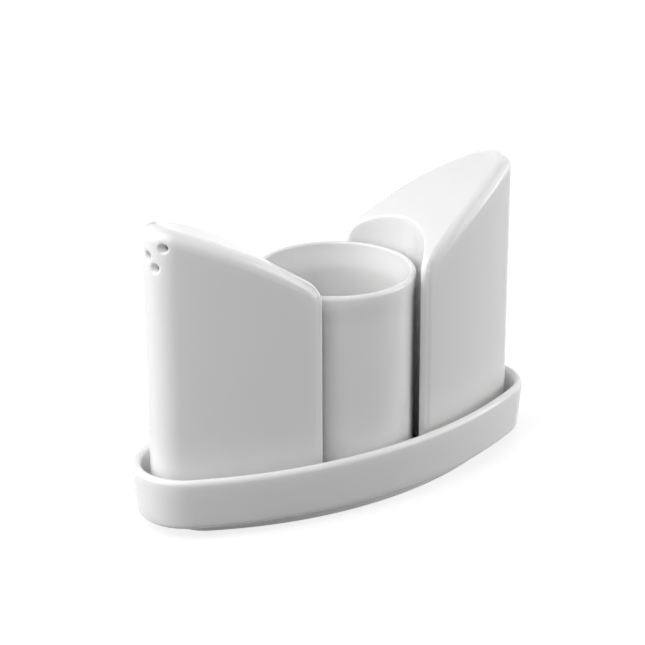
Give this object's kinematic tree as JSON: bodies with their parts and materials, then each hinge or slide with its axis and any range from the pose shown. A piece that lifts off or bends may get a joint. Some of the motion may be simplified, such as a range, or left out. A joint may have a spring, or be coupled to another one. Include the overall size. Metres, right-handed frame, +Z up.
{
  "type": "salt and pepper set on a tray",
  "caption": "White glazed porcelain table set: slant-topped salt and pepper shakers beside a round toothpick cup on an oval tray.",
  "frame": {"origin": "middle of the tray's foot, on the table", "axes": "+X along the tray from the salt shaker to the pepper shaker, +Z up"},
  "size_m": [0.1398, 0.0576, 0.0968],
  "materials": {
    "porcelain_tray": "gloss white glaze",
    "porcelain_shakers": "gloss white glaze",
    "porcelain_cup": "gloss white glaze",
    "stopper": "translucent matt"
  },
  "bodies": {
    "tray": {"tray": "porcelain_tray"},
    "salt_shaker": {"salt_shaker": "porcelain_shakers"},
    "pepper_shaker": {"pepper_shaker": "porcelain_shakers"},
    "toothpick_cup": {"toothpick_cup": "porcelain_cup"},
    "salt_stopper": {"salt_stopper": "stopper"},
    "pepper_stopper": {"pepper_stopper": "stopper"}
  },
  "joints": [
    {"name": "salt_lift", "type": "slide", "parent": "tray", "child": "salt_shaker", "axis": [0, 0, 1], "range_m": [0, 0.1]},
    {"name": "pepper_lift", "type": "slide", "parent": "tray", "child": "pepper_shaker", "axis": [0, 0, 1], "range_m": [0, 0.1]},
    {"name": "cup_lift", "type": "slide", "parent": "tray", "child": "toothpick_cup", "axis": [0, 0, 1], "range_m": [0, 0.1]},
    {"name": "salt_stopper_pull", "type": "slide", "parent": "salt_shaker", "child": "salt_stopper", "axis": [0, 0, -1], "range_m": [0, 0.004]},
    {"name": "pepper_stopper_pull", "type": "slide", "parent": "pepper_shaker", "child": "pepper_stopper", "axis": [0, 0, -1], "range_m": [0, 0.004]}
  ]
}
